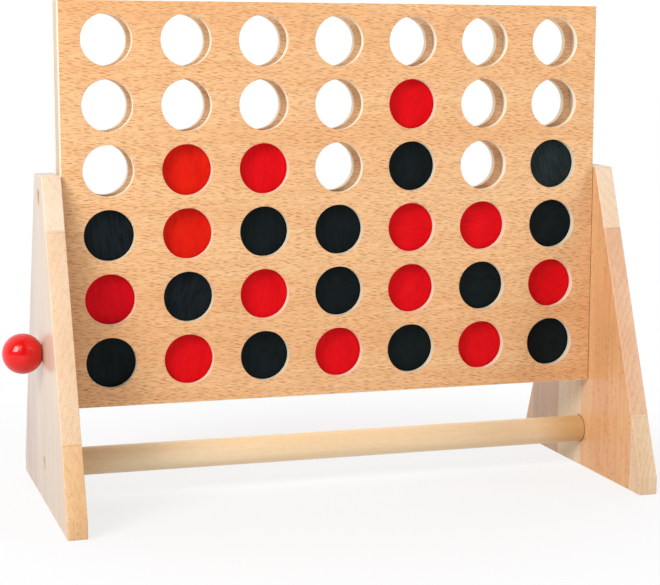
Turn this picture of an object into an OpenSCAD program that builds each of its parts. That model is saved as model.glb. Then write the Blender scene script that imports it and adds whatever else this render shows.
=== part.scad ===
// Four in a row frame: a two-panel board with seven columns and six rows of
// sight holes, hung between two side panels on a pair of pivot bolts, with a
// crossbar below it and a locking pin with a ball knob.
// Millimetres, +Z up. X runs along the board, Y from front to back.
// Origin: middle of the whole object's footprint, at the height of its feet.

/* [Columns and holes] */
// Diameter of a playing disc
disc_d = 39.5; // [38:0.1:39.7]
// Thickness of a playing disc
disc_t = 13.4; // [12:0.1:13.6]
// Width of the edge rounding of a disc, cut as a chamfer
disc_edge = 0.9; // [0.4:0.1:1.5]
// Distance from one row of holes to the next
row_pitch = 40; // [40:0.1:41]
// Width of a column between its two dividers
column_w = 40.6; // [40.4:0.1:42]
// Diameter of a sight hole
hole_d = 32; // [26:0.5:35]

/* [Board] */
// Thickness of the front and back panels
ply_t = 5; // [4:0.5:6]
// Space between the two panels
gap_t = 15; // [15:0.1:17]
// Width of a divider between two columns
divider_w = 9; // [7:0.5:12]
// Width of the closing strip at each end of the board
end_strip_w = 9; // [9:0.5:14]
// Height of the rail that closes the columns at the bottom
rail_h = 7.6; // [6:0.1:10]
// Height of the board's lower edge above the feet
board_z = 62; // [58:0.5:70]
// Top edge above the centres of the top row of holes
top_margin = 23.7; // [20:0.1:30]

/* [Stand] */
// Thickness of a side panel
side_t = 12; // [12:0.5:15]
// Height of a side panel
side_h = 207.4; // [205:0.5:220]
// Depth of a side panel at the floor
side_base = 187; // [160:1:220]
// Depth of a side panel at its top edge
side_top = 31; // [28:0.5:40]
// Height of the short upright edge at the foot's front and back
side_nose = 11.2; // [6:0.2:16]
// Radius of a side panel's corners
side_r = 2.2; // [1:0.1:4]
// Air between the board's end and a side panel
side_gap = 0.5; // [0.5:0.1:2]
// Diameter of the crossbar
bar_d = 18; // [14:0.5:20]
// Height of the crossbar's axis
bar_z = 25.5; // [22:0.5:32]
// Depth of the socket that holds each end of the crossbar
bar_socket = 3; // [2:0.5:5]

/* [Pivot and lock] */
// Height of the pivot axis
pivot_z = 193.3; // [190:0.1:195]
// Diameter of the pivot bolt's shank
pivot_d = 6; // [5:0.5:6]
// Diameter of the counterbore over a pivot bolt
pivot_cbore_d = 10.6; // [10.4:0.1:13]
// Height of the locking pin's axis
lock_z = 96.3; // [90:0.1:110]
// Diameter of the locking pin
lock_d = 10; // [8:0.5:10]
// Diameter of the ball knob
knob_d = 25.4; // [20:0.2:28]
// Diameter of the flat on the ball knob, where it meets the dowel
knob_flat_d = 11.2; // [10.8:0.2:14]
// Depth of the locking hole in the board's end
lock_hole = 7; // [4:0.5:7.5]

/* [Hidden] */
$fn = 72;
columns = 7;
rows = 6;
column_pitch = column_w + divider_w;
inner_w = columns * column_w + (columns - 1) * divider_w;
board_w = inner_w + 2 * end_strip_w;
board_t = gap_t + 2 * ply_t;
bottom_row_z = board_z + rail_h + row_pitch / 2;
board_top = bottom_row_z + (rows - 1) * row_pitch + top_margin;
board_h = board_top - board_z;
face_in = board_w / 2 + side_gap;      // inner face of a side panel, from the board's middle
face_out = face_in + side_t;           // outer face of a side panel
knob_gap = 0.4;
knob_seat = sqrt(pow(knob_d / 2, 2) - pow(knob_flat_d / 2, 2));
knob_x = face_out + knob_gap + knob_seat;
// The knob stands out on the left only, so the board's middle lies right of the origin
dx = (knob_x + knob_d / 2 - face_out) / 2;
run = 0.06;                            // radial running clearance of a shank in its bore
fit_r = 0.02;                          // radial gap of a glued or threaded fit
arc_n = 6;

function hole_x(c) = dx + (c - (columns + 1) / 2) * column_pitch;
function hole_z(r) = bottom_row_z + (rows - r) * row_pitch;

// A cylinder along X from x = a to x = b
module rod_x(a, b, d) {
    translate([min(a, b), 0, 0]) rotate([0, 90, 0]) cylinder(h = abs(b - a), d = d);
}

// A panel with its grid of sight holes, front face at y = y0
module sight_panel(y0) {
    difference() {
        translate([dx - board_w / 2, y0, board_z]) cube([board_w, ply_t, board_h]);
        for (c = [1:columns], r = [1:rows])
            translate([hole_x(c), y0 - 1, hole_z(r)]) rotate([-90, 0, 0]) cylinder(h = ply_t + 2, d = hole_d);
    }
}

module front_panel() color("burlywood") sight_panel(-board_t / 2);
module back_panel() color("burlywood") sight_panel(gap_t / 2);

// A closing strip; side is -1 at the left end and 1 at the right end
module end_strip(side) {
    x0 = side < 0 ? dx - board_w / 2 : dx + board_w / 2 - end_strip_w;
    translate([x0, -gap_t / 2, board_z]) cube([end_strip_w, gap_t, board_h]);
}

module pivot_hole(side) {
    x = dx + side * board_w / 2;
    translate([0, 0, pivot_z]) rod_x(x + side, x - side * 7.6, 9 + 2 * fit_r);
}

module end_strip_left() color("wheat") difference() {
    end_strip(-1);
    pivot_hole(-1);
    // blind hole that takes the locking pin
    translate([0, 0, lock_z]) rod_x(dx - board_w / 2 - 1, dx - board_w / 2 + lock_hole, lock_d + 0.6);
}

module end_strip_right() color("wheat") difference() {
    end_strip(1);
    pivot_hole(1);
}

module divider(i) color("wheat")
    translate([hole_x(i) + column_w / 2, -gap_t / 2, board_z + rail_h]) cube([divider_w, gap_t, board_h - rail_h]);

module bottom_rail() color("wheat")
    translate([dx - inner_w / 2, -gap_t / 2, board_z]) cube([inner_w, gap_t, rail_h]);

// Threaded insert in the board's end, which the pivot bolt screws into
module pivot_insert(side) color("goldenrod") {
    x = dx + side * board_w / 2;
    translate([0, 0, pivot_z]) difference() {
        rod_x(x, x - side * 7.5, 9);
        rod_x(x + side, x - side * 8.5, pivot_d + 2 * fit_r);
    }
}

// Shoulder bolt: shank through the side panel into the insert, head in the counterbore
module pivot_bolt(side) color("silver") {
    x = dx + side * board_w / 2;
    xf = dx + side * face_out;
    translate([0, 0, pivot_z]) difference() {
        union() {
            rod_x(x - side * 7.4, xf - side * 4.1, pivot_d);
            rod_x(xf - side * 4.2, xf - side * 1.3, pivot_cbore_d - 0.8);
        }
        // hexagon socket
        translate([xf - side * 2.3, 0, 0]) rotate([0, 90, 0]) cylinder(h = 3.2, d = 4.6, $fn = 6, center = true);
    }
}

// Thin spacer that keeps the board's end off the side panel
module pivot_washer(side) color("whitesmoke") {
    x = dx + side * board_w / 2;
    translate([0, 0, pivot_z]) difference() {
        rod_x(x, x + side * 0.35, 14);
        rod_x(x - side, x + side * 2, pivot_d + 0.4);
    }
}

// Points of a rounded corner at p, between the directions to the points before and after it
function corner(p, a, b, r) =
    let (u = (a - p) / norm(a - p), v = (b - p) / norm(b - p),
         half = acos(u * v) / 2, m = (u + v) / norm(u + v),
         c = p + m * (r / sin(half)),
         s = p + u * (r / tan(half)), e = p + v * (r / tan(half)),
         as = atan2(s[1] - c[1], s[0] - c[0]), ae0 = atan2(e[1] - c[1], e[0] - c[0]),
         ae = ae0 - as > 180 ? ae0 - 360 : ae0 - as < -180 ? ae0 + 360 : ae0)
    [for (i = [0:arc_n]) let (t = as + (ae - as) * i / arc_n) c + r * [cos(t), sin(t)]];

side_outline = [
    [-side_base / 2, 0], [side_base / 2, 0], [side_base / 2, side_nose],
    [side_top / 2, side_h], [-side_top / 2, side_h], [-side_base / 2, side_nose]
];
side_points = [for (i = [0:5]) each corner(side_outline[i], side_outline[(i + 5) % 6], side_outline[(i + 1) % 6],
    i < 2 ? 1 : i == 2 || i == 5 ? 1.4 : side_r)];

// A side panel's blank with the holes that both panels have
module side_panel(side) {
    xf = dx + side * face_out;
    xi = dx + side * face_in;
    difference() {
        translate([side < 0 ? xf : xi, 0, 0]) rotate([90, 0, 90]) linear_extrude(height = side_t) polygon(side_points);
        translate([0, 0, pivot_z]) {
            rod_x(xi - side, xf + side, pivot_d + 2 * run);
            rod_x(xf - side * 4.5, xf + side, pivot_cbore_d);
        }
        translate([0, 0, bar_z]) {
            rod_x(xi - side, xi + side * bar_socket, bar_d + 2 * fit_r);
            rod_x(xi, xf + side, 4.2);
            rod_x(xf - side * 3.8, xf + side, 9.2);
        }
    }
}

module side_panel_left() color("tan") difference() {
    side_panel(-1);
    // bore that guides the locking pin
    translate([0, 0, lock_z]) rod_x(dx - face_in + 1, dx - face_out - 1, lock_d + 0.16);
}

module side_panel_right() color("tan") side_panel(1);

module crossbar() color("wheat") translate([0, 0, bar_z]) difference() {
    rod_x(dx - face_in - bar_socket + 0.1, dx + face_in + bar_socket - 0.1, bar_d);
    for (side = [-1, 1])
        rod_x(dx + side * (face_in + bar_socket + 1), dx + side * (face_in - 22), 4.04);
}

// Countersunk-in screw that draws a side panel onto the crossbar
module crossbar_screw(side) color("silver") {
    xf = dx + side * face_out;
    translate([0, 0, bar_z]) difference() {
        union() {
            rod_x(xf - side * 3, dx + side * (face_in - 20), 4);
            rod_x(xf - side * 3.8, xf - side * 1.4, 8.2);
        }
        // cross recess
        for (a = [0, 90]) translate([xf - side * 2, 0, 0]) rotate([a, 0, 0]) cube([2, 4.4, 1], center = true);
    }
}

// Dowel of the lock: glued into the knob, its tip level with the panel's inner face
module lock_pin() color("wheat") translate([0, 0, lock_z]) {
    rod_x(dx - knob_x - 2, dx - face_in - 1.2, lock_d);
    translate([dx - face_in - 1.2, 0, 0]) rotate([0, 90, 0]) cylinder(h = 1, d1 = lock_d, d2 = lock_d - 2);
}

module lock_knob() color("red") translate([0, 0, lock_z]) difference() {
    translate([dx - knob_x, 0, 0]) rotate([0, 90, 0]) sphere(d = knob_d);
    rod_x(dx - knob_x - 2.1, dx - knob_x + knob_d, lock_d + 2 * fit_r);
    translate([dx - knob_x + knob_seat, -knob_d / 2, -knob_d / 2]) cube(knob_d);
}

// A playing disc standing on edge in column c at row r
module disc(c, r) translate([hole_x(c), 0, hole_z(r)]) rotate([-90, 0, 0]) rotate_extrude() polygon([
    [0, -disc_t / 2], [disc_d / 2 - disc_edge, -disc_t / 2], [disc_d / 2, -disc_t / 2 + disc_edge],
    [disc_d / 2, disc_t / 2 - disc_edge], [disc_d / 2 - disc_edge, disc_t / 2], [0, disc_t / 2]]);

module red_disc(c, r) color("crimson") disc(c, r);
module black_disc(c, r) color("darkslategray") disc(c, r);

front_panel();
back_panel();
end_strip_left();
end_strip_right();
divider(1);  // divider_1
divider(2);  // divider_2
divider(3);  // divider_3
divider(4);  // divider_4
divider(5);  // divider_5
divider(6);  // divider_6
bottom_rail();
pivot_insert(-1);  // pivot_insert_left
pivot_insert(1);  // pivot_insert_right
pivot_bolt(-1);  // pivot_bolt_left
pivot_bolt(1);  // pivot_bolt_right
pivot_washer(-1);  // pivot_washer_left
pivot_washer(1);  // pivot_washer_right
side_panel_left();
side_panel_right();
crossbar();
crossbar_screw(-1);  // crossbar_screw_left
crossbar_screw(1);  // crossbar_screw_right
lock_pin();
lock_knob();
black_disc(1, 6);  // black_disc_c1_r6
red_disc(2, 6);  // red_disc_c2_r6
black_disc(3, 6);  // black_disc_c3_r6
red_disc(4, 6);  // red_disc_c4_r6
black_disc(5, 6);  // black_disc_c5_r6
red_disc(6, 6);  // red_disc_c6_r6
black_disc(7, 6);  // black_disc_c7_r6
red_disc(1, 5);  // red_disc_c1_r5
black_disc(2, 5);  // black_disc_c2_r5
red_disc(3, 5);  // red_disc_c3_r5
black_disc(4, 5);  // black_disc_c4_r5
red_disc(5, 5);  // red_disc_c5_r5
black_disc(6, 5);  // black_disc_c6_r5
red_disc(7, 5);  // red_disc_c7_r5
black_disc(1, 4);  // black_disc_c1_r4
red_disc(2, 4);  // red_disc_c2_r4
black_disc(3, 4);  // black_disc_c3_r4
black_disc(4, 4);  // black_disc_c4_r4
red_disc(5, 4);  // red_disc_c5_r4
red_disc(6, 4);  // red_disc_c6_r4
black_disc(7, 4);  // black_disc_c7_r4
red_disc(2, 3);  // red_disc_c2_r3
red_disc(3, 3);  // red_disc_c3_r3
black_disc(5, 3);  // black_disc_c5_r3
black_disc(7, 3);  // black_disc_c7_r3
red_disc(5, 2);  // red_disc_c5_r2
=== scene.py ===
import math
import random

import bmesh
import bpy
from mathutils import Matrix, Vector


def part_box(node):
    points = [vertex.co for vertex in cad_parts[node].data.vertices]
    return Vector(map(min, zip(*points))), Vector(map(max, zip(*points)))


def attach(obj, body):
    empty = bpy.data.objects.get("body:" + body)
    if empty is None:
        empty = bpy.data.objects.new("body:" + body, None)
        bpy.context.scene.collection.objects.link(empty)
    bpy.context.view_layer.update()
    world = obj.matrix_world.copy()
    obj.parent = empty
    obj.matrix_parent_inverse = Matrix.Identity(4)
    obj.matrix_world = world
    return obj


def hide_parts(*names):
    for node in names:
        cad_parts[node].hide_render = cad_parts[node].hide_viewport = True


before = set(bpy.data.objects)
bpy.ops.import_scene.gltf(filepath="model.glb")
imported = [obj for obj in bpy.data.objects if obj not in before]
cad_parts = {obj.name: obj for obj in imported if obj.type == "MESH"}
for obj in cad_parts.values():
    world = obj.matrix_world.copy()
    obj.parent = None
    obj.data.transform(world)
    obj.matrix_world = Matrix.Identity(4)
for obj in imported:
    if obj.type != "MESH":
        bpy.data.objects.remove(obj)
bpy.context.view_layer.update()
NODES = sorted(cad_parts)
MM = 0.001


# ---------------------------------------------------------------- node helpers
class Nodes:
    """A small builder for node materials."""

    def __init__(self, name):
        self.mat = bpy.data.materials.new(name)
        self.mat.use_nodes = True
        self.t = self.mat.node_tree
        self.t.nodes.clear()
        self.out = self.t.nodes.new("ShaderNodeOutputMaterial")
        self.bsdf = self.t.nodes.new("ShaderNodeBsdfPrincipled")
        self.t.links.new(self.bsdf.outputs[0], self.out.inputs[0])

    def new(self, kind, **props):
        n = self.t.nodes.new(kind)
        for k, v in props.items():
            setattr(n, k, v)
        return n

    def put(self, socket, value):
        if isinstance(value, bpy.types.NodeSocket):
            self.t.links.new(value, socket)
        elif isinstance(value, (tuple, list)) and len(value) == 3 and socket.type == "RGBA":
            socket.default_value = (*value, 1.0)
        else:
            socket.default_value = value

    def coords(self):
        return self.new("ShaderNodeTexCoord").outputs["Object"]

    def mapping(self, vec, scale=(1, 1, 1), loc=(0, 0, 0), rot=(0, 0, 0)):
        n = self.new("ShaderNodeMapping")
        self.put(n.inputs["Vector"], vec)
        n.inputs["Scale"].default_value = scale
        n.inputs["Location"].default_value = loc
        n.inputs["Rotation"].default_value = rot
        return n.outputs[0]

    def math(self, op, a, b=0.0, c=0.0, clamp=False):
        n = self.new("ShaderNodeMath", operation=op, use_clamp=clamp)
        self.put(n.inputs[0], a)
        self.put(n.inputs[1], b)
        if len(n.inputs) > 2:
            self.put(n.inputs[2], c)
        return n.outputs[0]

    def vmath(self, op, a, b=(0, 0, 0), scale=None):
        n = self.new("ShaderNodeVectorMath", operation=op)
        self.put(n.inputs[0], a)
        self.put(n.inputs[1], b)
        if scale is not None:
            self.put(n.inputs["Scale"], scale)
        return n.outputs["Value"] if op in ("LENGTH", "DISTANCE", "DOT_PRODUCT") else n.outputs[0]

    def noise(self, vec, detail=2.0, rough=0.5, distort=0.0, scale=1.0, color=False):
        n = self.new("ShaderNodeTexNoise")
        self.put(n.inputs["Vector"], vec)
        n.inputs["Scale"].default_value = scale
        n.inputs["Detail"].default_value = detail
        n.inputs["Roughness"].default_value = rough
        n.inputs["Distortion"].default_value = distort
        return n.outputs["Color"] if color else n.outputs[0]

    def voronoi(self, vec, feature="F1", randomness=1.0):
        n = self.new("ShaderNodeTexVoronoi", feature=feature)
        self.put(n.inputs["Vector"], vec)
        n.inputs["Scale"].default_value = 1.0
        n.inputs["Randomness"].default_value = randomness
        return n.outputs["Distance"], n.outputs["Color"]

    def sep(self, vec):
        n = self.new("ShaderNodeSeparateXYZ")
        self.put(n.inputs[0], vec)
        return n.outputs

    def comb(self, x=0.0, y=0.0, z=0.0):
        n = self.new("ShaderNodeCombineXYZ")
        for s, v in zip(n.inputs, (x, y, z)):
            self.put(s, v)
        return n.outputs[0]

    def ramp(self, fac, stops, mode="LINEAR"):
        n = self.new("ShaderNodeValToRGB")
        self.put(n.inputs[0], fac)
        r = n.color_ramp
        r.interpolation = mode
        while len(r.elements) > 1:
            r.elements.remove(r.elements[-1])
        for i, (p, c) in enumerate(stops):
            e = r.elements[0] if i == 0 else r.elements.new(p)
            e.position = p
            e.color = (*c, 1.0) if isinstance(c, (tuple, list)) else (c, c, c, 1.0)
        return n.outputs[0]

    def range(self, value, lo, hi, a=0.0, b=1.0, smooth=True):
        n = self.new("ShaderNodeMapRange", interpolation_type="SMOOTHSTEP" if smooth else "LINEAR")
        n.clamp = True
        self.put(n.inputs["Value"], value)
        n.inputs["From Min"].default_value = lo
        n.inputs["From Max"].default_value = hi
        n.inputs["To Min"].default_value = a
        n.inputs["To Max"].default_value = b
        return n.outputs[0]

    def mix(self, fac, a, b, blend="MIX"):
        n = self.new("ShaderNodeMix", data_type="RGBA", blend_type=blend)
        self.put(n.inputs[0], fac)
        self.put(n.inputs[6], a)
        self.put(n.inputs[7], b)
        return n.outputs[2]

    def bump(self, height, distance, strength=1.0):
        n = self.new("ShaderNodeBump")
        n.inputs["Strength"].default_value = strength
        n.inputs["Distance"].default_value = distance
        self.put(n.inputs["Height"], height)
        self.put(self.bsdf.inputs["Normal"], n.outputs[0])

    def shade(self, color, rough, spec=0.5, coat=0.0, coat_rough=0.1, metal=0.0, ior=1.5):
        b = self.bsdf
        self.put(b.inputs["Base Color"], color)
        self.put(b.inputs["Roughness"], rough)
        b.inputs["Specular IOR Level"].default_value = spec
        b.inputs["Coat Weight"].default_value = coat
        b.inputs["Coat Roughness"].default_value = coat_rough
        b.inputs["Metallic"].default_value = metal
        b.inputs["IOR"].default_value = ior
        return self.mat


def along(axis, g, a, b=None):
    """A scale triple: g along the grain axis, a (and b) across it."""
    s = [a, a if b is None else b]
    s.insert(axis, g)
    return tuple(s)


def wood(nb, P, axis, light, dark, fleck, fleck_amount=0.6, broad=0.5, seed=0.0,
         fleck_len=5.6, fleck_wide=0.8, fibre=0.5, share=0.5, ring=None, ring_amount=0.0):
    """Beech-like colour and height for the vector P in metres, with the grain along an axis: broad
    tones, fine fibres, short dark ray flecks and, where ring is given, growth lines across it.
    light, dark and fleck are colours or sockets."""
    off = (seed * 1.37, seed * 2.11, seed * 0.73)
    P = nb.mapping(P, loc=off)
    warp = nb.noise(nb.mapping(P, scale=along(axis, 11, 38)), detail=2, color=True)
    P = nb.vmath("ADD", P, nb.vmath("SCALE", nb.vmath("SUBTRACT", warp, (0.5, 0.5, 0.5)), scale=0.0052))
    n_broad = nb.noise(nb.mapping(P, scale=along(axis, 3.2, 52)), detail=3, rough=0.55)
    n_streak = nb.noise(nb.mapping(P, scale=along(axis, 13, 430)), detail=3, rough=0.62)
    n_fibre = nb.noise(nb.mapping(P, scale=along(axis, 170, 2300)), detail=2, rough=0.6)
    tone = nb.math("ADD", nb.math("MULTIPLY", n_broad, 0.6), nb.math("MULTIPLY", n_streak, 0.4))
    c = nb.mix(nb.range(tone, 0.37, 0.63, 0.5 - broad / 2, 0.5 + broad / 2), light, dark)
    c = nb.mix(1.0, c, nb.ramp(n_fibre, [(0.28, 1.0 - 0.24 * fibre), (0.70, 1.0)]), "MULTIPLY")
    if ring is not None:
        r = nb.math("FRACT", ring)
        line = nb.math("MULTIPLY", nb.range(r, 0.40, 0.90, 0.0, 1.0), nb.range(r, 1.0, 0.93, 0.0, 1.0))
        line = nb.math("MULTIPLY", line, nb.range(n_streak, 0.34, 0.60, 0.35, 1.0))
        c = nb.mix(nb.math("MULTIPLY", line, ring_amount), c, fleck)
    d, col = nb.voronoi(nb.mapping(P, scale=along(axis, 1000 / fleck_len, 1000 / fleck_wide)))
    f1 = nb.math("MULTIPLY", nb.range(d, 0.33, 0.16, 0.0, 1.0), nb.range(nb.sep(col)[0], 1.0 - share, 1.05 - 0.35 * share, 0.0, 1.0))
    d2, col2 = nb.voronoi(nb.mapping(P, scale=along(axis, 1500 / fleck_len, 1350 / fleck_wide), loc=(3.1, 1.7, 5.3)))
    f2 = nb.math("MULTIPLY", nb.range(d2, 0.32, 0.14, 0.0, 1.0), nb.range(nb.sep(col2)[1], 1.0 - 0.8 * share, 1.0, 0.0, 0.75))
    f = nb.math("MAXIMUM", f1, f2)
    c = nb.mix(nb.math("MULTIPLY", f, fleck_amount), c, fleck)
    height = nb.math("SUBTRACT", nb.math("MULTIPLY", n_fibre, 0.45), nb.math("MULTIPLY", f, 0.55))
    return c, height, f


def strokes(nb, u, v, length, wide, share, slip):
    """Short thin strokes scattered over the flat coordinates u, along the grain, and v, in metres."""
    n = nb.new("ShaderNodeTexVoronoi", voronoi_dimensions="2D", feature="F1")
    # each row is shifted along the grain against the last, so the strokes never line up in columns
    row = nb.math("MULTIPLY", v, 1000 / wide)
    nb.put(n.inputs["Vector"], nb.comb(nb.math("ADD", nb.math("MULTIPLY", u, 1000 / length), nb.math("MULTIPLY", row, slip)), row))
    n.inputs["Scale"].default_value = 1.0
    keep = nb.range(nb.sep(n.outputs["Color"])[0], 1.0 - share, 1.0 - 0.45 * share, 0.0, 1.0)
    return nb.math("MULTIPLY", nb.range(n.outputs["Distance"], 0.285, 0.19, 0.0, 1.0), keep)


# ---------------------------------------------------------------- mesh helpers
def finish_mesh(bm, name, mats, body, replaces, smooth_angle=None, loc=None):
    bmesh.ops.recalc_face_normals(bm, faces=bm.faces)
    me = bpy.data.meshes.new(name)
    bm.to_mesh(me)
    bm.free()
    ob = bpy.data.objects.new(name, me)
    bpy.context.scene.collection.objects.link(ob)
    for m in mats:
        me.materials.append(m)
    if loc is not None:
        ob.matrix_world = loc
    if smooth_angle is not None:
        me.shade_smooth()
        me.set_sharp_from_angle(angle=math.radians(smooth_angle))
    bpy.context.view_layer.update()
    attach(ob, body)
    if replaces:
        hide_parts(*replaces)
    return ob


def lathe(bm, profile, segments, axis, centre, mat=0, mat_of=None):
    """Turns profile [(distance along axis, radius)] about an axis through centre; ends of radius 0 close to a point."""
    rings = []
    u, v, w = [Vector(a) for a in ((1, 0, 0), (0, 1, 0), (0, 0, 1))]
    ax = (u, v, w)[axis]
    e1, e2 = [(v, w), (w, u), (u, v)][axis]
    for d, r in profile:
        if r < 1e-9:
            rings.append([bm.verts.new(centre + ax * d)])
        else:
            rings.append([
                bm.verts.new(centre + ax * d + (e1 * math.cos(2 * math.pi * i / segments) + e2 * math.sin(2 * math.pi * i / segments)) * r)
                for i in range(segments)])
    for k, (a, b) in enumerate(zip(rings, rings[1:])):
        m = mat_of(k) if mat_of else mat
        for i in range(segments):
            j = (i + 1) % segments
            if len(a) == 1 and len(b) == 1:
                continue
            if len(a) == 1:
                f = bm.faces.new((a[0], b[j], b[i]))
            elif len(b) == 1:
                f = bm.faces.new((a[i], a[j], b[0]))
            else:
                f = bm.faces.new((a[i], a[j], b[j], b[i]))
            f.material_index = m
            f.smooth = True
    return rings


def arc(cx, cy, r, a0, a1, n):
    return [(cx + r * math.cos(math.radians(a0 + (a1 - a0) * i / n)), cy + r * math.sin(math.radians(a0 + (a1 - a0) * i / n))) for i in range(n + 1)]


def cutter(profile, axis, centre, segments=72):
    """A closed lathe as a temporary object for a boolean."""
    bm = bmesh.new()
    lathe(bm, [(profile[0][0], 0.0)] + profile + [(profile[-1][0], 0.0)], segments, axis, Vector(centre))
    bmesh.ops.recalc_face_normals(bm, faces=bm.faces)
    me = bpy.data.meshes.new("cutter")
    bm.to_mesh(me)
    bm.free()
    ob = bpy.data.objects.new("cutter", me)
    bpy.context.scene.collection.objects.link(ob)
    return ob


def cut(ob, cutters):
    for c in cutters:
        m = ob.modifiers.new("cut", "BOOLEAN")
        m.operation = "DIFFERENCE"
        m.solver = "EXACT"
        m.object = c
    dg = bpy.context.evaluated_depsgraph_get()
    me = bpy.data.meshes.new_from_object(ob.evaluated_get(dg), depsgraph=dg)
    ob.modifiers.clear()
    old = ob.data
    ob.data = me
    bpy.data.meshes.remove(old)
    for c in cutters:
        bpy.data.objects.remove(c)


def box_bm(lo, hi, edge, segments=3):
    bm = bmesh.new()
    bmesh.ops.create_cube(bm, size=1.0)
    for v in bm.verts:
        v.co = Vector([(lo[k] + hi[k]) / 2 + v.co[k] * (hi[k] - lo[k]) for k in range(3)])
    bmesh.ops.bevel(bm, geom=list(bm.edges), offset=edge, offset_type="OFFSET", segments=segments, profile=0.5, affect="EDGES", clamp_overlap=True)
    return bm


# ---------------------------------------------------------------- dimensions
fp_lo, fp_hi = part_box("front_panel")
bp_lo, bp_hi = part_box("back_panel")
rail_lo, rail_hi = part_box("bottom_rail")
BX = (fp_lo.x + fp_hi.x) / 2                      # the board's middle
discs = {}
for n in NODES:
    if "_disc_" in n:
        lo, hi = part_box(n)
        discs[n] = ((lo + hi) / 2, (hi.z - lo.z) / 2, (hi.y - lo.y))
col_x, row_z = {}, {}
for n, (c, r, t) in discs.items():
    col_x[int(n.split("_c")[1][0])] = c.x
    row_z[int(n.split("_r")[-1])] = c.z
PX = (col_x[7] - col_x[1]) / 6
PZ = (row_z[2] - row_z[6]) / 4
HX = [col_x[1] + PX * i for i in range(7)]
HZ = [row_z[6] + PZ * i for i in range(6)]
HOLE_R = 16 * MM
sl_lo, sl_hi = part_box("side_panel_left")
sr_lo, sr_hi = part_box("side_panel_right")
bolt_lo, bolt_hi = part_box("pivot_bolt_left")
PIVOT_Z = (bolt_lo.z + bolt_hi.z) / 2
bar_lo, bar_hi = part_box("crossbar")
BAR_Z, BAR_R = (bar_lo.z + bar_hi.z) / 2, (bar_hi.z - bar_lo.z) / 2
kn_lo, kn_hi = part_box("lock_knob")
pin_lo, pin_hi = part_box("lock_pin")
LOCK_Z, PIN_R = (pin_lo.z + pin_hi.z) / 2, (pin_hi.z - pin_lo.z) / 2
KNOB_R = (kn_hi.y - kn_lo.y) / 2
FACE_OUT = (sr_hi.x - BX)


# ---------------------------------------------------------------- camera
cam_data = bpy.data.cameras.new("camera")
cam = bpy.data.objects.new("camera", cam_data)
bpy.context.scene.collection.objects.link(cam)
cam_data.sensor_width = 36.0
cam_data.lens = 1764.3142 * 36.0 / 660.0
cam_data.shift_x = (330.0 - 351.1209) / 660.0
cam_data.shift_y = (325.8538 - 292.5) / 660.0
cam_data.clip_start, cam_data.clip_end = 0.05, 60.0
right = Vector((0.95259527, -0.3042209, 0.00344924))
up = Vector((0.04331325, 0.14682943, 0.98821307))
back = Vector((-0.30114152, -0.9412177, 0.15304582))
pos = Vector((-0.33710908, -1.09350502, 0.28221493)) + Vector((BX - 0.0005, 0, 0))
cam.matrix_world = Matrix(((right.x, up.x, back.x, pos.x), (right.y, up.y, back.y, pos.y), (right.z, up.z, back.z, pos.z), (0, 0, 0, 1)))
bpy.context.scene.camera = cam


# ---------------------------------------------------------------- materials
def srgb(r, g, b, k=1.0):
    f = lambda c: ((c / 255.0 + 0.055) / 1.055) ** 2.4 if c > 10.3 else c / 255.0 / 12.92
    return tuple(min(0.95, f(c) * k) for c in (r, g, b))


def mat_veneer(name, tone, share, light=(249, 200, 147), dark=(243, 184, 128), stroke=(186, 112, 62)):
    nb = Nodes(name)
    P = nb.coords()
    c, h, f = wood(nb, P, 0, srgb(*light, tone), srgb(*dark, tone), srgb(*stroke, tone), fleck_amount=0.12, broad=1.0,
                   share=share, fleck_len=7.6, fleck_wide=0.82, fibre=0.75)
    x, y, z = nb.sep(P)
    drift = nb.noise(nb.mapping(P, scale=(11, 11, 24)), detail=1.0)
    v = nb.math("ADD", nb.math("ADD", z, nb.math("MULTIPLY", nb.math("SUBTRACT", drift, 0.5), 0.0065)), nb.math("MULTIPLY", y, 8.7))
    s1 = strokes(nb, x, v, 7.6, 0.84, 0.84 * share, 0.381)
    s2 = strokes(nb, nb.math("ADD", x, 0.37), nb.math("ADD", v, 0.21), 5.4, 0.72, 0.62 * share, -0.441)
    s = nb.math("MAXIMUM", s1, nb.math("MULTIPLY", s2, 0.8))
    c = nb.mix(nb.math("MULTIPLY", s, 0.78), c, srgb(*stroke, tone))
    f = nb.math("MAXIMUM", f, s)
    nb.bump(nb.math("SUBTRACT", h, nb.math("MULTIPLY", s, 0.5)), 0.00012, 0.35)
    return nb.shade(c, nb.math("ADD", 0.45, nb.math("MULTIPLY", f, 0.15)), spec=0.35)


def mat_ply_edge(name, y_mid):
    """The sawn edge of a three-layer panel: pale layers with fine glue lines between them."""
    nb = Nodes(name)
    P = nb.coords()
    y = nb.sep(P)[1]
    d = nb.math("ABSOLUTE", nb.math("SUBTRACT", y, y_mid))
    wob = nb.math("MULTIPLY", nb.math("SUBTRACT", nb.noise(nb.mapping(P, scale=(120, 300, 120)), detail=2), 0.5), 0.0005)
    d = nb.math("ADD", d, wob)
    core = nb.range(d, 0.00118, 0.00128, 0.0, 1.0)
    speck = nb.noise(nb.mapping(P, scale=(900, 900, 900)), detail=3, rough=0.7)
    c_core = nb.mix(speck, srgb(236, 216, 186), srgb(250, 238, 214))
    c_face = nb.mix(speck, srgb(243, 226, 198), srgb(252, 243, 225))
    c = nb.mix(core, c_core, c_face)
    line = nb.math("MULTIPLY", nb.range(nb.math("ABSOLUTE", nb.math("SUBTRACT", d, 0.00123)), 0.00012, 0.00003, 0.0, 1.0), 0.45)
    c = nb.mix(line, c, srgb(176, 138, 96))
    nb.bump(speck, 0.0001, 0.4)
    return nb.shade(c, 0.62, spec=0.3)


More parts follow.
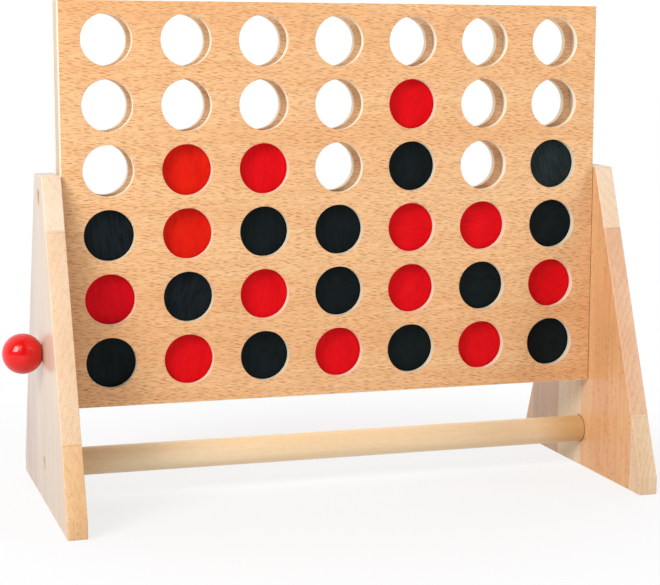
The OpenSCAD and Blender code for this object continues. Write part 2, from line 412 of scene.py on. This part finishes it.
def mat_strip(name, axis, light, dark, seed=0.0, fleck_amount=0.25):
    nb = Nodes(name)
    P = nb.coords()
    c, h, f = wood(nb, P, axis, light, dark, srgb(170, 118, 76), fleck_amount=fleck_amount, broad=0.9, seed=seed, fleck_len=4.5, fleck_wide=0.8)
    nb.bump(h, 0.0001, 0.4)
    return nb.shade(c, 0.58, spec=0.35)


# edges of the glued staves, from the front foot to the back foot, in metres
STAVES_L = [-0.0769, -0.0288, 0.0005, 0.0365, 0.0795]
STAVES_R = [-0.0788, -0.0315, -0.0026, 0.0351, 0.0785]


def mat_staves(name, edges, lights, seed, turns, fleck_amount, line_amount, rough, wide=0.85, knob_bounce=None):
    """A board glued up from upright staves, each with its own tone, its own run of grain and its own
    tilt of the growth rings, which show as upright lines on the faces and as slanting ones on the slopes."""
    nb = Nodes(name)
    P = nb.coords()
    xyz = nb.sep(P)
    t = nb.math("ADD", nb.math("MULTIPLY", xyz[1], 5.0), 0.5)     # -0.1 m .. 0.1 m onto 0 .. 1
    stops = [0.0] + [0.5 + 5.0 * e for e in edges]
    light = nb.ramp(t, list(zip(stops, [a for a, b, c in lights])), "CONSTANT")
    dark = nb.ramp(t, list(zip(stops, [b for a, b, c in lights])), "CONSTANT")
    fleck = nb.ramp(t, list(zip(stops, [c for a, b, c in lights])), "CONSTANT")
    shift = nb.ramp(t, [(s, (0.17 * i % 1.0, 0.41 * i % 1.0, 0.73 * i % 1.0)) for i, s in enumerate(stops)], "CONSTANT")
    turn = nb.sep(nb.ramp(t, [(s, (0.5 + 0.5 * math.cos(math.radians(a)), 0.5 + 0.5 * math.sin(math.radians(a)), 0.0)) for s, a in zip(stops, turns)], "CONSTANT"))
    Q = nb.vmath("ADD", P, nb.vmath("SCALE", shift, scale=3.0))
    wave = nb.math("MULTIPLY", nb.math("SUBTRACT", nb.noise(nb.mapping(Q, scale=(45, 45, 7)), detail=2), 0.5), 3.2)
    ring = nb.math("ADD", nb.math("MULTIPLY", xyz[1], nb.math("MULTIPLY", nb.math("SUBTRACT", turn[0], 0.5), 2.0 * 360)),
                   nb.math("MULTIPLY", xyz[0], nb.math("MULTIPLY", nb.math("SUBTRACT", turn[1], 0.5), 2.0 * 360)))
    c, h, f = wood(nb, Q, 2, light, dark, fleck, fleck_amount=fleck_amount, broad=1.0, seed=seed, fleck_len=4.6, fleck_wide=wide,
                   fibre=0.45, share=0.5, ring=nb.math("ADD", ring, wave), ring_amount=line_amount)
    # the fine glue lines
    near = None
    for e in edges:
        d = nb.math("ABSOLUTE", nb.math("SUBTRACT", xyz[1], e))
        near = d if near is None else nb.math("MINIMUM", near, d)
    c = nb.mix(nb.range(near, 0.00020, 0.00004, 0.0, 0.16), c, srgb(150, 104, 66))
    if knob_bounce is not None:
        # painted reflection: an orange tint on the face around the knob, standing in for the knob's red light bounced
        # onto the wood
        r = nb.vmath("LENGTH", nb.comb(0.0, nb.math("SUBTRACT", xyz[1], knob_bounce[0]), nb.math("SUBTRACT", xyz[2], knob_bounce[1])))
        c = nb.mix(nb.range(r, 0.0150, 0.0095, 0.0, 1.0), c, nb.mix(1.0, c, (1.0, 0.93, 0.70), "MULTIPLY"))
    nb.bump(h, 0.0001, 0.18)
    return nb.shade(c, nb.math("ADD", rough, nb.math("MULTIPLY", f, 0.12)), spec=0.5, coat=0.2, coat_rough=0.22)


def mat_dowel(name, axis, light, dark):
    nb = Nodes(name)
    P = nb.coords()
    c, h, f = wood(nb, P, axis, light, dark, srgb(160, 112, 70), fleck_amount=0.22, broad=0.8, seed=2.0, fleck_len=7.0, fleck_wide=0.7, fibre=0.35, share=0.3)
    reach = nb.math("ABSOLUTE", nb.math("SUBTRACT", nb.sep(P)[0], BX))
    # painted shade: darker towards both ends, where the side panels shade the bar
    c = nb.mix(nb.range(reach, 0.135, 0.181, 0.0, 0.55), c, nb.mix(1.0, c, srgb(236, 208, 176), "MULTIPLY"))
    # stronger painted shade at the bar's right end, tinted orange like bounce light from the right panel
    right_end_shade = nb.range(nb.math("SUBTRACT", nb.sep(P)[0], BX), 0.138, 0.172, 0.0, 1.0)
    c = nb.mix(right_end_shade, c, nb.mix(1.0, c, (0.81, 0.75, 0.60), "MULTIPLY"))
    # painted shadow: the dark line in the gap where the bar goes into its socket, and the bar's part inside it
    c = nb.mix(nb.range(reach, 0.17800, 0.17815, 0.0, 0.6), c, srgb(140, 92, 56))
    nb.bump(h, 0.00008, 0.3)
    return nb.shade(c, 0.38, spec=0.45)


def mat_disc(name, base, deep, pale, grain, spec=0.08):
    """Stained and waxed wood: a wavy grain and fine specks show faintly through the colour."""
    nb = Nodes(name)
    P = nb.coords()
    warp = nb.noise(nb.mapping(P, scale=(150, 150, 75)), detail=3, rough=0.6, color=True)
    Q = nb.vmath("ADD", P, nb.vmath("SCALE", nb.vmath("SUBTRACT", warp, (0.5, 0.5, 0.5)), scale=0.0042))
    rings = nb.noise(nb.mapping(Q, scale=(640, 640, 75)), detail=2.5, rough=0.55)
    pores = nb.noise(nb.mapping(Q, scale=(2400, 2400, 700)), detail=2, rough=0.6)
    mott = nb.noise(nb.mapping(P, scale=(120, 120, 90)), detail=3)
    c = nb.mix(nb.range(rings, 0.38, 0.66, 0.0, grain), base, deep)
    c = nb.mix(nb.range(mott, 0.45, 0.75, 0.0, 0.5 * grain), c, pale)
    c = nb.mix(nb.range(pores, 0.58, 0.72, 0.0, 0.5 * grain), c, deep)
    h = nb.math("ADD", nb.math("MULTIPLY", rings, 0.5), nb.math("MULTIPLY", pores, -0.6))
    nb.bump(h, 0.00016, 0.5)
    return nb.shade(c, nb.range(rings, 0.3, 0.7, 0.42, 0.54), spec=spec)


def mat_knob():
    nb = Nodes("red_lacquer")
    P = nb.coords()
    m = nb.noise(nb.mapping(P, scale=(90, 90, 90)), detail=3)
    c = nb.mix(nb.range(m, 0.35, 0.7), srgb(226, 6, 6), srgb(212, 3, 5))
    nb.bump(nb.noise(nb.mapping(P, scale=(420, 420, 420)), detail=1.5), 0.00006, 0.25)
    return nb.shade(c, 0.42, spec=0.12, coat=0.76, coat_rough=0.085)


def mat_metal(name, a, b, rough):
    nb = Nodes(name)
    P = nb.coords()
    n = nb.noise(nb.mapping(P, scale=(300, 3500, 3500)), detail=3, rough=0.7)
    c = nb.mix(n, a, b)
    nb.bump(n, 0.00003, 0.4)
    return nb.shade(c, nb.range(n, 0.3, 0.7, rough - 0.06, rough + 0.08), metal=1.0)


def mat_plastic():
    nb = Nodes("spacer_plastic")
    n = nb.noise(nb.mapping(nb.coords(), scale=(1500, 1500, 1500)), detail=3)
    nb.bump(n, 0.00004, 0.5)
    return nb.shade(nb.mix(n, srgb(226, 224, 214), srgb(240, 238, 230)), 0.5)


VENEER = mat_veneer("beech_veneer", 0.99, 0.85)
# painted light: a paler copy of the veneer for the panel faces inside the board, which lie in shade
VENEER_IN_LIT = mat_veneer("beech_veneer_inside_painted_light", 0.99, 0.85, (253, 217, 172), (249, 202, 154), (202, 132, 84))
EDGE_F = mat_ply_edge("ply_edge_front", (fp_lo.y + fp_hi.y) / 2)
EDGE_B = mat_ply_edge("ply_edge_back", (bp_lo.y + bp_hi.y) / 2)
STRIP = mat_strip("strip_wood", 2, srgb(214, 198, 182), srgb(202, 180, 160))
RAIL = mat_strip("rail_wood", 0, srgb(238, 212, 178), srgb(222, 190, 150), seed=1.0)
cream = (srgb(217, 196, 176), srgb(209, 184, 160), srgb(188, 146, 112))
ivory = (srgb(245, 212, 178), srgb(238, 200, 162), srgb(208, 150, 106))
honey = (srgb(224, 192, 160), srgb(216, 178, 142), srgb(186, 132, 92))
orange = (srgb(241, 198, 148), srgb(233, 182, 128), srgb(186, 122, 78))
tan = (srgb(230, 181, 130), srgb(220, 163, 111), srgb(182, 84, 52))
butter = (srgb(232, 206, 172), srgb(223, 193, 156), srgb(196, 150, 108))
rose = (srgb(241, 196, 158), srgb(232, 180, 141), srgb(200, 126, 94))
blush = (srgb(214, 186, 168), srgb(205, 173, 154), srgb(182, 138, 116))
pale = (srgb(246, 224, 198), srgb(240, 212, 182), srgb(214, 168, 132))
peach = (srgb(252, 224, 194), srgb(247, 213, 180), srgb(216, 160, 124))
oat = (srgb(242, 210, 174), srgb(233, 196, 157), srgb(198, 146, 102))
straw = (srgb(230, 200, 166), srgb(221, 186, 150), srgb(186, 136, 96))
grey = (srgb(216, 178, 148), srgb(204, 162, 132), srgb(166, 116, 88))
LEFT_FACE = mat_staves("glued_beech_left_face", STAVES_L, [honey, cream, cream, cream, blush, cream], 0.0, [15, 80, 20, 60, 30, 75], 0.30, 0.10, 0.30,
                       knob_bounce=((pin_lo.y + pin_hi.y) / 2, LOCK_Z))
LEFT_SLOPE = mat_staves("glued_beech_left_slope", STAVES_L, [orange, ivory, pale, cream, blush, cream], 0.0, [38, -34, 30, 60, 30, 75], 0.75, 0.13, 0.42)
RIGHT_FACE = mat_staves("glued_beech_right_face", STAVES_R, [straw, tan, tan, butter, grey, rose], 1.0, [30, 78, 15, 10, 60, 20], 0.95, 0.14, 0.36, 1.1)
RIGHT_SLOPE = mat_staves("glued_beech_right_slope", STAVES_R, [oat, rose, peach, cream, grey, rose], 1.0, [-40, -31, 22, 10, 60, 20], 0.55, 0.21, 0.42)
DOWEL = mat_dowel("dowel_wood", 0, srgb(252, 226, 188), srgb(247, 212, 168))
REDS = {
    "scarlet": mat_disc("red_stain_scarlet", srgb(219, 28, 9), srgb(201, 12, 8), srgb(231, 43, 14), 0.5),
    "red": mat_disc("red_stain", srgb(222, 8, 20), srgb(202, 4, 14), srgb(234, 24, 30), 0.5),
    "crimson": mat_disc("red_stain_crimson", srgb(212, 4, 24), srgb(190, 2, 18), srgb(226, 18, 34), 0.5)}
BLACKS = {
    "plain": mat_disc("black_stain", srgb(16, 25, 27), srgb(11, 17, 19), srgb(22, 32, 34), 0.8),
    "grained": mat_disc("black_stain_grained", srgb(21, 30, 35), srgb(10, 16, 19), srgb(24, 36, 38), 0.85),
    "slate": mat_disc("black_stain_slate", srgb(31, 43, 45), srgb(20, 29, 32), srgb(38, 52, 52), 1.0, 0.12)}
TONES = {"c2_r3": "scarlet", "c2_r4": "scarlet", "c1_r5": "crimson", "c3_r3": "red", "c5_r5": "red",
         "c1_r4": "grained", "c2_r5": "grained", "c7_r3": "slate"}
KNOB = mat_knob()
STEEL = mat_metal("zinc_steel", (0.60, 0.60, 0.58), (0.74, 0.74, 0.72), 0.32)
BRASS = mat_metal("insert_brass", (0.68, 0.46, 0.18), (0.80, 0.58, 0.26), 0.30)
PLASTIC = mat_plastic()


# ---------------------------------------------------------------- board panels
def panel(name, y0, y1, edge_mat, node, inner_y):
    """A panel with its grid of holes, every rim and outer edge eased."""
    bm = bmesh.new()
    e_h, e_o = 0.3 * MM, 0.2 * MM
    N, K = 72, 4
    x_edges = [fp_lo.x + e_o] + [(HX[i] + HX[i + 1]) / 2 for i in range(6)] + [fp_hi.x - e_o]
    z_edges = [fp_lo.z + e_o] + [(HZ[i] + HZ[i + 1]) / 2 for i in range(5)] + [fp_hi.z - e_o]
    grid = {}

    def vert(x, y, z):
        key = (round(x * 1e7), round(y * 1e7), round(z * 1e7))
        if key not in grid:
            grid[key] = bm.verts.new((x, y, z))
        return grid[key]

    def face(vs, mat, smooth):
        u = []
        for v in vs:
            if v not in u:
                u.append(v)
        if len(u) >= 3 and not bm.faces.get(u):
            f = bm.faces.new(u)
            f.material_index = mat
            f.smooth = smooth

    for ci, hx in enumerate(HX):
        for ri, hz in enumerate(HZ):
            l, r_, b, t = x_edges[ci] - hx, x_edges[ci + 1] - hx, z_edges[ri] - hz, z_edges[ri + 1] - hz
            # angles: an even ring, with the cell's own corners and its mirror twins' corners added
            angles = {round(2 * math.pi * i / N, 9) for i in range(N)}
            for xx in (l, r_):
                for zz in (b, t):
                    angles.add(round(math.atan2(zz, xx) % (2 * math.pi), 9))
            angles = sorted(angles)
            clean = []
            corner = {round(math.atan2(zz, xx) % (2 * math.pi), 9) for xx in (l, r_) for zz in (b, t)}
            for a in angles:
                if a not in corner and any(abs(a - k) < 0.02 for k in corner):
                    continue
                clean.append(a)
            angles = clean
            rim, edge = [], []
            for a in angles:
                ca, sa = math.cos(a), math.sin(a)
                s = min([q for q in ((r_ / ca if ca > 1e-12 else 9), (l / ca if ca < -1e-12 else 9), (t / sa if sa > 1e-12 else 9), (b / sa if sa < -1e-12 else 9)) if q > 0])
                edge.append((hx + ca * s, hz + sa * s))
                rim.append((ca, sa))
            n = len(angles)
            for y, dy in ((y0, 1), (y1, -1)):
                ring = [vert(hx + ca * (HOLE_R + e_h), y, hz + sa * (HOLE_R + e_h)) for ca, sa in rim]
                outer = [vert(x, y, z) for x, z in edge]
                for i in range(n):
                    j = (i + 1) % n
                    face([ring[i], ring[j], outer[j], outer[i]], 2 if abs(y - inner_y) < 1e-6 else 0, False)
                prev = ring
                for k in range(1, K + 1):
                    q = math.pi / 2 * k / K
                    rr = HOLE_R + e_h * (1 - math.sin(q))
                    yy = y + dy * e_h * (1 - math.cos(q))
                    cur = [vert(hx + ca * rr, yy, hz + sa * rr) for ca, sa in rim]
                    for i in range(n):
                        j = (i + 1) % n
                        face([prev[i], prev[j], cur[j], cur[i]], 1 if k > 3 else 2 if abs(y - inner_y) < 1e-6 else 0, True)
                    prev = cur
                if dy == 1:
                    wall = prev
                else:
                    for i in range(n):
                        j = (i + 1) % n
                        face([wall[i], wall[j], prev[j], prev[i]], 1, True)
    # outer boundary: the same rounding, then the sawn edge
    bm.verts.ensure_lookup_table()
    loop0 = [e for e in bm.edges if e.is_boundary]
    by_y = {}
    for e in loop0:
        y = e.verts[0].co.y
        if abs(y - y0) < 1e-7 or abs(y - y1) < 1e-7:
            by_y.setdefault(0 if abs(y - y0) < 1e-7 else 1, []).append(e)

    def out(v):
        nx = -1 if abs(v.co.x - x_edges[0]) < 1e-7 else 1 if abs(v.co.x - x_edges[-1]) < 1e-7 else 0
        nz = -1 if abs(v.co.z - z_edges[0]) < 1e-7 else 1 if abs(v.co.z - z_edges[-1]) < 1e-7 else 0
        return nx, nz

    for e in by_y[0]:
        a, b = e.verts
        (ax, az), (bx, bz) = out(a), out(b)
        # both ends lie on one side, so a corner's other direction is only used for its position
        prev = None
        seq = []
        for side, y, dy in ((0, y0, 1), (1, y1, -1)):
            steps = []
            for k in range(K + 1):
                q = math.pi / 2 * k / K
                o, yy = e_o * math.sin(q), y + dy * e_o * (1 - math.cos(q))
                steps.append((vert(a.co.x + ax * o, yy, a.co.z + az * o), vert(b.co.x + bx * o, yy, b.co.z + bz * o)))
            seq += steps if side == 0 else steps[::-1]
        for p, c in zip(seq, seq[1:]):
            face([p[0], p[1], c[1], c[0]], 1, True)
    # the third material carries painted light on the inner faces and the rims next to them
    ob = finish_mesh(bm, name, [VENEER, edge_mat, VENEER_IN_LIT], "board", [node])
    me = ob.data
    me.set_sharp_from_angle(angle=math.radians(40))
    return ob


front = panel("board_front_panel", fp_lo.y, fp_hi.y, EDGE_F, "front_panel", fp_hi.y)
back_p = panel("board_back_panel", bp_lo.y, bp_hi.y, EDGE_B, "back_panel", bp_lo.y)


# ---------------------------------------------------------------- strips, dividers, rail
def strip(name, node, mat, body="board", edge=0.35 * MM, cuts=()):
    lo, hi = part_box(node)
    bm = box_bm(lo, hi, edge)
    ob = finish_mesh(bm, name, [mat], body, [node])
    if cuts:
        cut(ob, cuts)
    ob.data.shade_smooth()
    ob.data.set_sharp_from_angle(angle=math.radians(35))
    return ob


el_lo, el_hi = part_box("end_strip_left")
er_lo, er_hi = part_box("end_strip_right")
R_INS = 4.55 * MM
strip("board_end_strip_left", "end_strip_left", STRIP, cuts=[
    cutter([(-1 * MM, R_INS + 0.1 * MM), (7.6 * MM, R_INS)], 0, (el_lo.x, 0, PIVOT_Z)),
    cutter([(-1 * MM, PIN_R + 1.3 * MM), (0, PIN_R + 0.8 * MM), (0.5 * MM, PIN_R + 0.3 * MM), (7 * MM, PIN_R + 0.3 * MM)], 0, (el_lo.x, 0, LOCK_Z))])
strip("board_end_strip_right", "end_strip_right", STRIP, cuts=[
    cutter([(-7.6 * MM, R_INS), (1 * MM, R_INS + 0.1 * MM)], 0, (er_hi.x, 0, PIVOT_Z))])
for i in range(1, 7):
    strip(f"board_divider_{i}", f"divider_{i}", STRIP)
strip("board_bottom_rail", "bottom_rail", RAIL)


# ---------------------------------------------------------------- side panels
def side_outline(lo, hi):
    """The panel's outline (y, z), with its corners rounded as the CAD's are."""
    base, top, nose, h = (hi.y - lo.y), 31 * MM, 11.2 * MM, hi.z
    pts = [Vector(p) for p in ((-base / 2, 0), (base / 2, 0), (base / 2, nose), (top / 2, h), (-top / 2, h), (-base / 2, nose))]
    radii = [1.0, 1.0, 1.4, 2.2, 2.2, 1.4]
    out = []
    for i, p in enumerate(pts):
        a, b = pts[i - 1], pts[(i + 1) % 6]
        u, v = (a - p).normalized(), (b - p).normalized()
        half = u.angle(v) / 2
        m = (u + v).normalized()
        r = radii[i] * MM
        c = p + m * (r / math.sin(half))
        s, e = p + u * (r / math.tan(half)), p + v * (r / math.tan(half))
        a0 = math.atan2(s.y - c.y, s.x - c.x)
        a1 = math.atan2(e.y - c.y, e.x - c.x)
        if a1 - a0 > math.pi:
            a1 -= 2 * math.pi
        if a1 - a0 < -math.pi:
            a1 += 2 * math.pi
        out += [(c.x + r * math.cos(a0 + (a1 - a0) * k / 8), c.y + r * math.sin(a0 + (a1 - a0) * k / 8)) for k in range(9)]
    return out


def side_panel(name, node, mat, side, extra=()):
    lo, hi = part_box(node)
    bm = bmesh.new()
    pts = side_outline(lo, hi)
    e, K = 0.55 * MM, 4
    cy = sum(p[0] for p in pts) / len(pts)
    # each ring is the outline moved inwards by a little, as a router's rounding-over bit leaves it
    def inset(d):
        n = len(pts)
        res = []
        for i in range(n):
            p, a, b = Vector(pts[i]), Vector(pts[i - 1]), Vector(pts[(i + 1) % n])
            t = (b - a).normalized()
            nrm = Vector((t.y, -t.x))
            res.append(p - nrm * d)
        return res
    rings = []
    for k in range(K + 1):
        q = math.pi / 2 * k / K
        rings.append((lo.x + e * (1 - math.sin(q)), inset(e * (1 - math.cos(q)))))
    rings = [(x, r) for x, r in rings][::-1]
    # from the low-x face: start inset by e at x = lo.x, end full at x = lo.x + e, then mirrored
    seq = []
    for k in range(K + 1):
        q = math.pi / 2 * k / K
        seq.append((lo.x + e * (1 - math.cos(q)), inset(e * (1 - math.sin(q)))))
    seq += [(hi.x - (x - lo.x), r) for x, r in seq[::-1]]
    vr = [[bm.verts.new((x, p.x, p.y)) for p in r] for x, r in seq]
    n = len(pts)
    for a, b in zip(vr, vr[1:]):
        for i in range(n):
            j = (i + 1) % n
            bm.faces.new((a[i], a[j], b[j], b[i])).material_index = 1
    bm.faces.new(vr[0][::-1])
    bm.faces.new(vr[-1])
    ob = finish_mesh(bm, name, list(mat), "stand", [node])
    xo = lo.x if side < 0 else hi.x           # outer face
    xi = hi.x if side < 0 else lo.x           # inner face
    s = side

    def prof(points):
        pr = [(q * MM, r * MM) for q, r in points]
        return pr if pr[0][0] < pr[-1][0] else pr[::-1]

    # distances are measured outwards from the outer face
    cuts = [
        cutter(prof([(s * 1, 6.4), (s * 0, 5.8), (s * -0.5, 5.3), (s * -4.5, 5.3), (s * -4.5001, 3.06), (s * -13, 3.06)]), 0, (xo, 0, PIVOT_Z)),
        cutter(prof([(s * 1, 5.6), (s * 0, 5.05), (s * -0.45, 4.6), (s * -3.8, 4.6), (s * -3.8001, 2.1), (s * -13, 2.1)]), 0, (xo, 0, BAR_Z)),
        cutter(prof([(-s * 1, BAR_R / MM + 0.5), (0, BAR_R / MM + 0.42), (s * 3, BAR_R / MM + 0.3)]), 0, (xi, 0, BAR_Z), 96),
    ]
    for make in extra:
        cuts.append(make(prof, s, xo, xi))
    cut(ob, cuts)
    ob.data.shade_smooth()
    ob.data.set_sharp_from_angle(angle=math.radians(32))
    return ob


side_panel("side_panel_left_wood", "side_panel_left", (LEFT_FACE, LEFT_SLOPE), -1, extra=[
    lambda prof, s, xo, xi: cutter(prof([(s * 1, PIN_R / MM + 1.2), (0, PIN_R / MM + 0.6), (s * -0.5, PIN_R / MM + 0.12), (s * -13, PIN_R / MM + 0.12)]), 0, (xo, 0, LOCK_Z))])
side_panel("side_panel_right_wood", "side_panel_right", (RIGHT_FACE, RIGHT_SLOPE), 1)


# ---------------------------------------------------------------- crossbar
bm = bmesh.new()
prof = [(bar_lo.x, 0.0), (bar_lo.x, BAR_R - 1 * MM), (bar_lo.x + 1 * MM, BAR_R)]
prof += [(bar_lo.x + (bar_hi.x - bar_lo.x) * i / 24, BAR_R) for i in range(1, 24)]
prof += [(bar_hi.x - 1 * MM, BAR_R), (bar_hi.x, BAR_R - 1 * MM), (bar_hi.x, 0.0)]
lathe(bm, prof, 96, 0, Vector((0, 0, BAR_Z)))
ob = finish_mesh(bm, "crossbar_dowel", [DOWEL], "stand", ["crossbar"])
ob.data.set_sharp_from_angle(angle=math.radians(40))


# ---------------------------------------------------------------- discs
random.seed(40)
for n in sorted(discs):
    c, r, t = discs[n]
    bm = bmesh.new()
    e, K = 1.1 * MM, 5
    half = t / 2
    prof = [(-half, 0.0)] + [(-half, (r - e) * k / 5) for k in range(1, 6)]
    prof += [(-half + e * (1 - math.cos(math.pi / 2 * k / K)), r - e + e * math.sin(math.pi / 2 * k / K)) for k in range(1, K + 1)]
    prof += [(half - e * (1 - math.cos(math.pi / 2 * k / K)), r - e + e * math.sin(math.pi / 2 * k / K)) for k in range(K, 0, -1)]
    prof += [(half, (r - e) * k / 5) for k in range(5, 0, -1)] + [(half, 0.0)]
    # each disc is cut from its own place in the wood: the mesh stands off its origin, which is turned
    off = Vector((random.uniform(-0.3, 0.3), random.uniform(-0.3, 0.3), random.uniform(-0.3, 0.3)))
    turn = Matrix.Rotation(random.choice([random.uniform(-0.35, 0.35), random.uniform(0, 2 * math.pi)]), 4, "Y")
    lathe(bm, prof, 96, 1, off)
    m = Matrix.Translation(c) @ turn @ Matrix.Translation(-off)
    red = n.startswith("red")
    key = n.split("_disc_")[1]
    body = "disc_" + n.split("_disc_")[1]
    ob = finish_mesh(bm, n.replace("_disc_", "_wood_disc_"), [REDS[TONES.get(key, "red")] if red else BLACKS[TONES.get(key, "plain")]], body,
                     [n], loc=m)
    for f in ob.data.polygons:
        f.use_smooth = True
    ob.data.set_sharp_from_angle(angle=math.radians(40))


# ---------------------------------------------------------------- lock
bm = bmesh.new()
kx = kn_lo.x + KNOB_R
flat = kn_hi.x - kx                               # from the ball's middle to its flat
flat_r = math.sqrt(KNOB_R ** 2 - flat ** 2)
a_end = math.pi - math.asin(flat_r / KNOB_R)
prof = [(kx - KNOB_R * math.cos(a_end * k / 48), KNOB_R * math.sin(a_end * k / 48)) for k in range(48)]
prof[0] = (prof[0][0], 0.0)
e = 0.25 * MM
prof += [(kn_hi.x - e, math.sqrt(KNOB_R ** 2 - (flat - e) ** 2)), (kn_hi.x - 0.4 * e, flat_r - 0.15 * e), (kn_hi.x, flat_r - 0.8 * e),
         (kn_hi.x, PIN_R + 0.02 * MM), (pin_lo.x - 0.1 * MM, PIN_R + 0.02 * MM), (pin_lo.x - 0.1 * MM, 0.0)]
lathe(bm, prof, 96, 0, Vector((0, 0, LOCK_Z)))
ob = finish_mesh(bm, "lock_ball_knob", [KNOB], "lock", ["lock_knob"])
ob.data.set_sharp_from_angle(angle=math.radians(50))

bm = bmesh.new()
x0, x1 = pin_lo.x, pin_hi.x
prof = [(x0, 0.0), (x0, PIN_R), (x1 - 1.4 * MM, PIN_R)] + [(x1 - 1.4 * MM + 1.4 * MM * math.sin(math.pi / 2 * k / 5), PIN_R - 1.4 * MM * (1 - math.cos(math.pi / 2 * k / 5))) for k in range(1, 6)] + [(x1, 0.0)]
lathe(bm, prof, 64, 0, Vector((0, 0, LOCK_Z)))
ob = finish_mesh(bm, "lock_dowel_pin", [DOWEL], "lock", ["lock_pin"])
ob.data.set_sharp_from_angle(angle=math.radians(40))


# ---------------------------------------------------------------- bolts, screws, inserts, washers
def fastener(name, node, body, z, side, head_r, head_h, shank_r, hexagon):
    """A turned head with a rounded rim and a driver socket, on its shank."""
    lo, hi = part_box(node)
    tip, top = (hi.x, lo.x) if side < 0 else (lo.x, hi.x)     # top is the head's outer end
    s = side
    e = 0.7 * MM
    under = top - s * head_h
    prof = [(top, 0.0), (top, head_r - e)] + [(top - s * e * (1 - math.cos(math.pi / 2 * k / 4)), head_r - e + e * math.sin(math.pi / 2 * k / 4)) for k in range(1, 5)]
    prof += [(under, head_r), (under, shank_r), (tip + s * 0.6 * MM, shank_r), (tip, shank_r - 0.6 * MM), (tip, 0.0)]
    if s > 0:
        prof = prof[::-1]
    bm = bmesh.new()
    lathe(bm, prof, 48, 0, Vector((0, 0, z)))
    ob = finish_mesh(bm, name, [STEEL], body, [node])
    cs = []
    if hexagon:
        cs.append(cutter([(-2.2 * MM, 2.65 * MM), (2.2 * MM, 2.65 * MM)], 0, (top, 0, z), 6))
    else:
        for a in (0.0, math.pi / 2):
            me = bpy.data.meshes.new("cutter")
            b = bmesh.new()
            bmesh.ops.create_cube(b, size=1.0)
            for v in b.verts:
                y, zz = v.co.y * 4.4 * MM, v.co.z * 1.0 * MM
                v.co = Vector((top + v.co.x * 3.0 * MM, y * math.cos(a) - zz * math.sin(a), z + y * math.sin(a) + zz * math.cos(a)))
            b.to_mesh(me)
            b.free()
            o = bpy.data.objects.new("cutter", me)
            bpy.context.scene.collection.objects.link(o)
            cs.append(o)
    cut(ob, cs)
    ob.data.shade_smooth()
    ob.data.set_sharp_from_angle(angle=math.radians(30))
    return ob


for side, word in ((-1, "left"), (1, "right")):
    fastener(f"pivot_bolt_{word}_steel", f"pivot_bolt_{word}", "board", PIVOT_Z, side, 4.9 * MM, 2.9 * MM, 3.0 * MM, True)
    fastener(f"crossbar_screw_{word}_steel", f"crossbar_screw_{word}", "stand", BAR_Z, side, 4.1 * MM, 2.4 * MM, 2.0 * MM, False)
    for node, mat in ((f"pivot_insert_{word}", BRASS), (f"pivot_washer_{word}", PLASTIC)):
        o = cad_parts[node]
        o.data.materials.clear()
        o.data.materials.append(mat)


# ---------------------------------------------------------------- stage and light
bm = bmesh.new()
bmesh.ops.create_circle(bm, cap_ends=True, segments=96, radius=12.0)
me = bpy.data.meshes.new("floor")
bm.to_mesh(me)
bm.free()
floor = bpy.data.objects.new("floor", me)
floor.location = (0, 0, -0.0001)
bpy.context.scene.collection.objects.link(floor)
# a white sweep: near the object it is half lit from within, like a light table, and further out wholly
nb = Nodes("floor_white")
dist = nb.vmath("LENGTH", nb.coords())
lens = nb.new("ShaderNodeLightPath").outputs["Is Camera Ray"]
glow = nb.math("ADD", nb.math("MULTIPLY", nb.range(dist, 0.14, 0.42, 0.76, 1.0), lens),
               nb.math("MULTIPLY", nb.range(dist, 0.12, 0.60, 0.28, 1.0), nb.math("SUBTRACT", 1.0, lens)))
nb.put(nb.bsdf.inputs["Emission Color"], (1.0, 1.0, 1.0))
nb.put(nb.bsdf.inputs["Emission Strength"], glow)
me.materials.append(nb.shade(nb.mix(glow, nb.mix(lens, (0.70, 0.70, 0.70), (0.84, 0.84, 0.84)), (0.0, 0.0, 0.0)), 0.95, spec=0.0))

# white room: the light comes from behind the object, and the lens sees white all round
world = bpy.data.worlds.new("world")
bpy.context.scene.world = world
world.use_nodes = True
wt = world.node_tree
bg = wt.nodes["Background"]
bg.inputs[0].default_value = (1.0, 1.0, 1.0, 1.0)
wc = wt.nodes.new("ShaderNodeTexCoord")
ws = wt.nodes.new("ShaderNodeSeparateXYZ")
wr = wt.nodes.new("ShaderNodeMapRange")
wr.interpolation_type = "SMOOTHSTEP"
wp = wt.nodes.new("ShaderNodeLightPath")
wm = wt.nodes.new("ShaderNodeMath")
wm.operation = "MAXIMUM"
wt.links.new(wc.outputs["Generated"], ws.inputs[0])
wt.links.new(ws.outputs[1], wr.inputs["Value"])
wr.inputs["From Min"].default_value, wr.inputs["From Max"].default_value = -0.25, 0.45
wr.inputs["To Min"].default_value, wr.inputs["To Max"].default_value = 0.06, 1.05
wt.links.new(wr.outputs[0], wm.inputs[0])
wt.links.new(wp.outputs["Is Camera Ray"], wm.inputs[1])
wt.links.new(wm.outputs[0], bg.inputs[1])


def area(name, pos, target, size, power, color=(1, 1, 1)):
    d = bpy.data.lights.new(name, "AREA")
    d.shape = "RECTANGLE"
    d.size, d.size_y = size
    d.energy = power
    d.color = color
    o = bpy.data.objects.new(name, d)
    bpy.context.scene.collection.objects.link(o)
    o.location = pos
    o.rotation_mode = "QUATERNION"
    o.rotation_quaternion = (Vector(target) - Vector(pos)).to_track_quat("-Z", "Y")
    o.visible_camera = False
    return o


area("key", (-1.30, -0.92, 0.98), (0, 0, 0.16), (0.66, 0.84), 21.0)
area("key_high", (-0.95, -1.15, 1.25), (0, 0, 0.16), (0.95, 0.95), 8.0)
area("fill", (1.75, -1.0, 0.75), (0, 0, 0.14), (1.0, 1.0), 16.0)

bpy.context.scene.view_settings.view_transform = "Standard"
bpy.context.scene.view_settings.look = "None"
